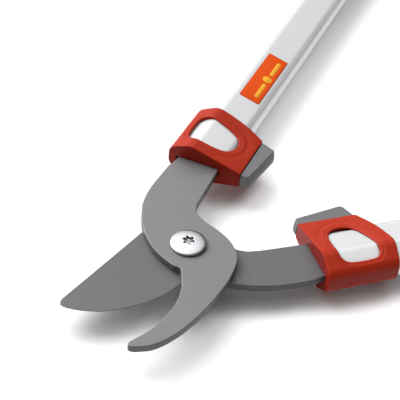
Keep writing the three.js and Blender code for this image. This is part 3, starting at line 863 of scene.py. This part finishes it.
def window_cut(space, body, skin):
    """The opening over the tube, with a sunken frame around it and a shallow dish beside it."""
    away = outline_distance(space, window_outline())
    frame_depth = WINDOW_FRAME["depth"] * smooth_step((WINDOW_FRAME["width"] - away) / WINDOW_FRAME["fade"])
    dish = WINDOW_DISH["depth"] * np.exp(-(((away - WINDOW_DISH["away"]) / WINDOW_DISH["width"]) ** 2))
    dish = dish * np.clip((WINDOW_DISH["end"] - space.y) / WINDOW_DISH["fade"], 0, 1)
    opening = away - WINDOW_DRAFT * np.minimum(skin, 0)
    return both(body + frame_depth + dish, -opening, WINDOW_ROUND)


def tube_room(space):
    """The hollow that holds the tube and its ledge."""
    front = TUBE["start"] - FIT_GAP - space.x
    bore = np.maximum(space.wedge(TUBE, growth=FIT_GAP, side=TUBE["round"]), front)
    ledge_y = np.maximum(TUBE_LEDGE["edge"] - FIT_GAP - space.y, space.y - TUBE["sides"][0] - 1)
    ledge_z = np.maximum(TUBE_LEDGE["low"] - FIT_GAP - space.z, space.z - TUBE_LEDGE["high"] - FIT_GAP)
    return np.minimum(bore, np.maximum(np.maximum(ledge_y, ledge_z), front))


def collar_shape():
    space = Space((62, -4.4, -13.6), (106, 42.6, 14.2), 0.28)
    skin = space.wedge(COLLAR, ridge=COLLAR_ROUND["ridge"], side=COLLAR_ROUND["outer"])
    body = both(skin, COLLAR["sides"][0] - space.y, COLLAR_ROUND["inner"])
    back_line = np.array([COLLAR_BACK[0], *spline(COLLAR_BACK)])
    back = np.interp(space.y, back_line[:, 1], back_line[:, 0])
    lean = 0.97  # the back edge slopes, so its distance is a little less than that along x
    body = both(body, (space.x - back) * lean, COLLAR_ROUND["back"])
    body = both(body, COLLAR["front"] - space.x, COLLAR_ROUND["front"])
    body = window_cut(space, body, skin)
    body = np.maximum(body, -tube_room(space))
    low, high = COLLAR_SLOT["sides"]
    slot = np.maximum(np.maximum(low - space.y, space.y - high), np.abs(space.z) - PLATE_HALF - FIT_GAP)
    body = both(body, -np.maximum(slot, space.x - COLLAR_SLOT["end"]), COLLAR_ROUND["slot"])
    x, y, z = MOULD_MARK["at"]
    mark = np.sqrt((space.x - x) ** 2 + (space.y - y) ** 2 + (space.z - z) ** 2) - MOULD_MARK["radius"]
    return space.surface(np.minimum(body, mark))


def collars():
    for made in on_both_arms("collar", "moulded", collar_shape(), "red_plastic", crease=60):
        with_modifier(made, "DECIMATE", ratio=0.2)


def bumper_levels():
    """(inset, height) pairs: rounded below and above, and the upper half stepped in a little."""
    step_in = BUMPER_STEP["in"]
    low = rounded_foot(BUMPER["half"], BUMPER_ROUND["edge"], 5)
    high = [(step_in + amount, -z) for amount, z in reversed(low)]
    return [*low, (0, BUMPER_STEP["from"]), (0.08, 0.95), (step_in, BUMPER_STEP["to"]), *high]


def bumpers():
    """Rubber block. Its corners are sharp against the collar and round where the bumpers meet."""
    slope = math.tan(CLOSED_HALF_ANGLE)
    front, rear, root, gap = BUMPER["front"], BUMPER["rear"], BUMPER["root"], BUMPER["gap"]
    corners = counter_clockwise([
        (front, root), (front, gap - front * slope), (rear, gap - rear * slope), (BUMPER["back"], root),
    ])
    at_root = corners[:, 1] > root - 0.1
    rings = []
    for amount, z in bumper_levels():
        shrunk = inset(corners, amount)
        shrunk[at_root, 1] = root - amount * 0.3
        radii = np.where(at_root, BUMPER_ROUND["root"] - amount * 0.2, BUMPER_ROUND["corner"] - amount)
        loop = rounded(shrunk, radii, 8)
        rings.append(np.column_stack([loop, np.full(len(loop), z)]))
    on_both_arms("bumper", "moulded", loft(rings), "grey_rubber", flat_ends=True)


# ---------------- tube and label


def tube_section(growth, ledge):
    """Section (y, z) of the tube. Where it has its ledge, this runs along the inner side below the bend of
    the upper face, tilts up a little and has a narrow groove above it."""
    inner, ridge, outer, inner_low, ridge_low, outer_low = plan_section(TUBE, growth)
    side, edge, top = TUBE["round"] + growth, TUBE["round_in"] + growth, TUBE["round_ridge"]
    if not ledge:
        corners = [inner, ridge, outer, outer_low, ridge_low, inner_low]
        radii = [edge, top, side, side, top, edge]
        return counter_clockwise(without_doubles(rounded(corners, radii, 8)))
    bend_y, root = TUBE_LEDGE["bend"] - growth / 2, TUBE_LEDGE["root"] - growth / 2
    bend = (bend_y, inner[1] + (ridge[1] - inner[1]) * (bend_y - inner[0]) / (ridge[0] - inner[0]))
    low, high, tip = TUBE_LEDGE["low"] - growth, TUBE_LEDGE["high"] + growth, TUBE_LEDGE["edge"] - growth
    deep, groove_low = root + TUBE_GROOVE["depth"], high + 0.1
    groove_high = groove_low + TUBE_GROOVE["height"]
    corners = [
        bend, ridge, outer, outer_low, ridge_low, inner_low,
        (inner[0], low), (tip, low), (tip, high - TUBE_LEDGE["tilt"]),
        (root, high), (deep, groove_low), (deep, groove_high), (root + 0.3, groove_high + 0.1),
    ]
    radii = [6, top, side, side, top, edge, 0.3, 0.4, 0.4, 0.1, 0.2, 0.2, 0.2]
    return counter_clockwise(without_doubles(rounded(corners, radii, 8)))


def tubes():
    start, end, bevel = TUBE["start"], TUBE["end"], 0.08
    levels = [(bevel, start), (0, start + bevel), (0, end - bevel), (bevel, end)]
    points, faces = prism(tube_section(0, True), levels, [tube_section(-TUBE["wall"], False)])
    shape = (points[:, [2, 0, 1]], faces)
    for side, arm in ARM.items():
        node = f"{arm}_tube"
        piece(f"{node}_extruded", shape, node, BODY[side], [node], slot="tube_aluminium", side=side)


def on_facet(loop, low, high):
    """A thin plate that lies on the sloping inner face of the tube, drawn flat in x and y."""
    (y0, y1, _), (z0, z1, _) = TUBE["sides"], TUBE["upper"]
    slope = (z1 - z0) / (y1 - y0)
    lean = math.hypot(1, slope)
    levels = [(0, low), (0, high - 0.03), (0.05, high)]
    points, faces = prism(counter_clockwise(without_doubles(loop)), levels)
    flat, height = points[:, 1].copy(), points[:, 2].copy()
    points[:, 1] = flat - height * slope / lean
    points[:, 2] = z0 + slope * (flat - y0) + height / lean
    return points, faces


def rectangle(x0, y0, x1, y1, radius):
    return rounded([(x0, y0), (x1, y0), (x1, y1), (x0, y1)], [radius] * 4)


def label():
    """Plain sticker with a darker border, a disc and two bars."""
    x0, x1, y0, y1, border = (LABEL[key] for key in ("start", "end", "inner", "outer", "border"))
    middle, bar_y = (x0 + x1) / 2, y0 + LABEL_BAR["middle"]
    half, margin = LABEL_BAR["half"], LABEL_BAR["margin"]
    field = rectangle(x0 + border, y0 + border, x1 - border, y1 - border, 0.6)
    marks = [circle(LABEL_BAR["disc"], middle, bar_y + 0.4, 48)]
    for start, end in ((x0 + margin, middle - margin), (middle + margin, x1 - margin)):
        marks.append(rectangle(start, bar_y - half, end, bar_y + half, 1.1))
    layers = [("border", rectangle(x0, y0, x1, y1, 0.9), 0.04, 0.16, "label_edge", ["hook_arm_label"])]
    layers += [("field", field, 0.1, 0.2, "label_film", [])]
    for name, mark in zip(("disc", "bar_front", "bar_rear"), marks):
        layers.append((name, mark, 0.15, 0.23, "label_mark", []))
    for name, loop, low, high, finish, nodes in layers:
        shape = on_facet(loop, low, high)
        piece(f"label_{name}", shape, finish, "hook_half", nodes, slot="label_film", side=HOOK)


# ---------------- grips


def sizes_at(stations, x):
    """Half the width and thickness at x, from a list of (x, width, thickness)."""
    places, widths, thicknesses = np.array(stations, float).T
    return np.interp(x, places, widths), np.interp(x, places, thicknesses)


def grip_cores():
    """Hard core: a flared guard in front of the sleeve and a collar behind it."""
    start, end = SLEEVE["start"], SLEEVE["end"]
    outer = [
        (GRIP_START, 20.2, 12.4), (GRIP_START + 0.6, 20.9, 13.1), (GRIP_START + 3, 22.1, 13.9),
        (GRIP_START + 6, 23.2, 14.5), (GRIP_START + 9, 23.8, 14.8), (GRIP_START + 12, 23.5, 14.7),
        (GRIP_START + 15, 22.7, 14.35), (start - 1, 22.4, 14.2), (start - 0.2, 22.1, 14), (start, 21.4, 13.4),
        (start + 0.05, *CORE_NECK), (end - 0.05, *CORE_NECK), (end, 22, 13.7), (end + 0.3, 22.8, 14.3),
        (end + 5, 23.2, 14.45), (GRIP_END - 0.8, 23.4, 14.4), (GRIP_END, 22.7, 13.8),
    ]
    points, faces = loft([superellipse(*station) for station in outer], ends="open")
    points, count, size = list(points), len(points), len(points) // len(outer)
    hole = tube_section(FIT_GAP, True)
    for x in (GRIP_START, GRIP_END):
        points += [np.array((x, y, z)) for y, z in hole]
    front, rear = numbered(count, len(hole)), numbered(count + len(hole), len(hole))
    faces += skin(front, rear, facing=-1)
    faces += cap(points, [numbered(0, size), front], axis=0, facing=-1)
    faces += cap(points, [numbered(count - size, size), rear], axis=0)
    on_both_arms("grip_core", "moulded", (np.array(points), faces), "red_plastic")


def grip_sleeves():
    """Soft sleeve with shallow finger grooves across its middle. At its thickest it reaches the table."""
    start, end, round_end = SLEEVE["start"] + SLEEVE["gap"], SLEEVE["end"] - SLEEVE["gap"], SLEEVE["round"]
    stations = [
        (start, 22.4, 14.2), (start + 12, 23.4, 14.8), (start + 34, 24, BLADE_HEIGHT),
        (end - 38, 23.6, BLADE_HEIGHT), (end - 16, 22.8, 14.6), (end, 23, 14.4),
    ]
    first, last = start + FINGER_GROOVE["margin"], end - FINGER_GROOVE["margin"]
    middle = np.arange(start + 1.2, end - 1, 0.7)
    rings = []
    for x in (start, start + 0.25, start + 0.7, *middle, end - 0.7, end - 0.25, end):
        width, thickness = sizes_at(stations, x)
        inwards = max(0, 1 - min(x - start, end - x) / round_end)
        dip = round_end * (1 - math.sqrt(max(0, 1 - inwards**2)))
        if first < x < last:
            phase = (x - first) / FINGER_GROOVE["pitch"] * 2 * math.pi
            dip += FINGER_GROOVE["depth"] * (0.5 - 0.5 * math.cos(phase)) ** 3
        rings.append(superellipse(x, width - dip, thickness - dip))
    rings += [superellipse(x, CORE_NECK[0] + 0.3, CORE_NECK[1] + 0.3) for x in (end, start)]
    on_both_arms("grip_sleeve", "soft", loft(rings, ends="joined"), "grey_rubber", crease=60)


def end_caps():
    seat = GRIP_END + 0.3
    space = Space((seat - 2, -3, -16), (ARM_LENGTH + 1, 47, 16), 0.45)
    stations = [
        (seat, 23.4, 14.4), (seat + 8, 23, 13.8), (ARM_LENGTH - 5, 20.6, 11.8), (ARM_LENGTH - 1.6, 17.4, 9.6),
        (ARM_LENGTH, 13.6, 6.6),
    ]
    width, thickness = sizes_at(stations, space.x)
    power = 2 / GRIP_ROUNDNESS
    across, up = np.abs(space.y - GRIP_CENTRE), np.abs(space.z)
    scale = ((across / width) ** power + (up / thickness) ** power) ** (1 / power)
    cover = np.hypot(across, up) * (1 - 1 / np.maximum(scale, 1e-3))
    cover = both(cover, seat - space.x, 0.6)
    cover = both(cover, space.x - ARM_LENGTH, 1.5)
    hole = HANGING_HOLE["radius"] - np.hypot(space.x - HANGING_HOLE["x"], space.y - GRIP_CENTRE)
    shape = space.surface(both(cover, hole, 1.4))
    for made in on_both_arms("end_cap", "moulded", shape, "black_plastic", crease=60):
        with_modifier(made, "DECIMATE", ratio=0.35)


# ---------------- model nodes that stay

KEPT = {
    "pivot_bush": "bronze",
    "pivot_nut_washer": "zinc_steel",
    "front_rivet": "zinc_steel",
    "rear_rivet": "zinc_steel",
    "tang_insert": "black_plastic",
}


def finish_kept_nodes():
    for name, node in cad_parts.items():
        for ending, finish in KEPT.items():
            if name.endswith(ending):
                node.data.materials.clear()
                node.data.materials.append(MATERIAL[finish])


# ---------------- floor, light, camera


def floor():
    """Pale paper, just below the tool."""
    mesh = bpy.data.meshes.new("floor")
    reach = 30.0
    corners = [(-reach, -reach, 0), (reach, -reach, 0), (reach, reach, 0), (-reach, reach, 0)]
    mesh.from_pydata(corners, [], [(0, 1, 2, 3)])
    recipe = Recipe("floor_paper", (0.78, 0.78, 0.784), 0.9)
    recipe.tint(recipe.noise(60, 2), (0.985, 0.985, 0.985))
    mesh.materials.append(recipe.material)
    made = add_object("floor", mesh)
    made.location.z = -0.0005


def direction(azimuth, elevation):
    """A unit vector towards a place in the sky. Azimuth is turned from +X towards +Y; both in degrees."""
    turn, rise = math.radians(azimuth), math.radians(elevation)
    return Vector((math.cos(turn) * math.cos(rise), math.sin(turn) * math.cos(rise), math.sin(rise)))


def sun(name, azimuth, elevation, spread, strength):
    """Even soft light from a round patch of sky, spread degrees across."""
    light = bpy.data.lights.new(name, "SUN")
    light.angle = math.radians(spread)
    light.energy = strength
    source = direction(azimuth, elevation)
    made = add_object(name, light)
    made.rotation_mode = "QUATERNION"
    made.rotation_quaternion = (-source).to_track_quat("-Z", "Y")
    made.location = source
    return made


def softbox(name, place, size, power):
    """A square light that looks straight down, at a place and of a size in millimetres."""
    light = bpy.data.lights.new(name, "AREA")
    light.size = size * MM
    light.energy = power
    made = add_object(name, light)
    made.location = Vector(place) * MM
    made.visible_camera = False
    return made


def light_only(light, receivers):
    """Keeps a light to the given objects; everything still casts its shadow."""
    group = bpy.data.collections.new(light.name + "_receivers")
    for made in receivers:
        group.objects.link(made)
    light.light_linking.receiver_collection = group


def lights():
    """A large soft light behind the tool. The floor has a key light of its own and a softbox over the
    blades; the tubes have a fill from the front."""
    meshes = [made for made in bpy.context.scene.objects if made.type == "MESH"]
    table = [made for made in meshes if made.name == "floor"]
    tool = [made for made in meshes if made.name != "floor"]
    extrusions = [made for made in tool if "_tube_" in made.name]
    light_only(sun("key", azimuth=BACK, elevation=40, spread=46, strength=3.1), tool)
    light_only(sun("table_key", azimuth=BACK, elevation=60, spread=46, strength=2.3), table)
    light_only(softbox("table_fill", place=(170, -50, 300), size=150, power=0.5), table)
    light_only(sun("tube_fill", azimuth=255, elevation=15, spread=90, strength=3.0), extrusions)


def studio():
    """Walls that glow from behind the tool. The camera sees them evenly pale."""
    world = bpy.data.worlds.new("studio")
    world.use_nodes = True
    tree = world.node_tree
    inputs = {0: add_node(tree, "ShaderNodeTexCoord").outputs["Generated"], 1: direction(BACK, 55)}
    towards = add_node(tree, "ShaderNodeVectorMath", inputs, operation="DOT_PRODUCT").outputs["Value"]
    inputs = {"Value": towards, "From Min": 0.15, "From Max": 1.0, "To Min": 0.03, "To Max": 1.7}
    glow = add_node(tree, "ShaderNodeMapRange", inputs, interpolation_type="SMOOTHSTEP").outputs["Result"]
    inputs = {0: add_node(tree, "ShaderNodeLightPath").outputs["Is Camera Ray"], 1: glow}
    strength = add_node(tree, "ShaderNodeMath", inputs, operation="MAXIMUM").outputs["Value"]
    background = tree.nodes["Background"]
    feed(tree, background.inputs["Color"], (1, 1, 1, 1))
    feed(tree, background.inputs["Strength"], strength)
    bpy.context.scene.world = world
    bpy.context.scene.view_settings.view_transform = "Standard"


def camera():
    """At the photograph's viewing angle: what it looks at, from how far, and its turn, all in
    millimetres and degrees."""
    target, distance = Vector((28.2, 22.2, 21.65)) * MM, 598.6 * MM
    heading, tilt, roll = 44.1, 40.98, math.radians(5.756)
    forward = direction(heading, -tilt)
    level = Vector((math.sin(math.radians(heading)), -math.cos(math.radians(heading)), 0))
    right = level * math.cos(roll) + level.cross(forward) * math.sin(roll)
    turn = Matrix((right, right.cross(forward), -forward)).transposed()
    data = bpy.data.cameras.new("camera")
    data.sensor_width = 36
    data.lens = 99
    data.clip_start, data.clip_end = 0.01, 100
    made = add_object("camera", data)
    made.matrix_world = Matrix.Translation(target - forward * distance) @ turn.to_4x4()
    bpy.context.scene.camera = made


hook_plate()
blade_plate()
pivot_screw()
head_washer()
pivot_nut()
collars()
bumpers()
tubes()
label()
grip_cores()
grip_sleeves()
end_caps()
finish_kept_nodes()
floor()
lights()
studio()
camera()
